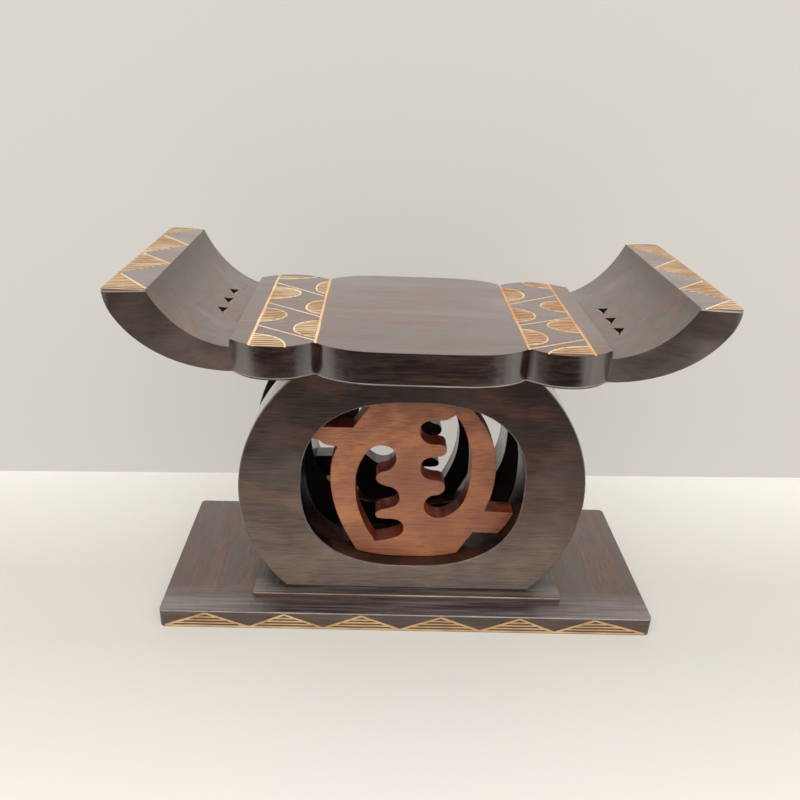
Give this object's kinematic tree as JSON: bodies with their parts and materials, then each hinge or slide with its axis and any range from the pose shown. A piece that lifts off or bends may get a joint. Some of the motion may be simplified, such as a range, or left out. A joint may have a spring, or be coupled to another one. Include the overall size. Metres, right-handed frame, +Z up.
{
  "type": "wood stool",
  "caption": "Low wooden stool: an upswept lobed seat on barrel rings that each hold a fretwork symbol panel, standing on a stepped base board.",
  "frame": {"origin": "middle of the base board's underside, at floor level", "axes": "+X along the seat's length, to the right as seen from the front; +Y towards the back; +Z up"},
  "size_m": [0.5424, 0.2352, 0.3697],
  "materials": {
    "dark_wood": "dark stain with a waxed sheen, cut grooves left as raw pale wood",
    "red_brown_wood": "red-brown stain, satin",
    "peg_wood": "raw"
  },
  "bodies": {
    "root": {"base_board": "dark_wood", "base_step": "dark_wood", "front_ring": "dark_wood", "rear_ring": "dark_wood", "seat": "dark_wood", "front_symbol_panel": "red_brown_wood", "rear_symbol_panel": "red_brown_wood", "front_top_panel_peg": "peg_wood", "front_bottom_panel_peg": "peg_wood", "rear_top_panel_peg": "peg_wood", "rear_bottom_panel_peg": "peg_wood"}
  },
  "joints": []
}
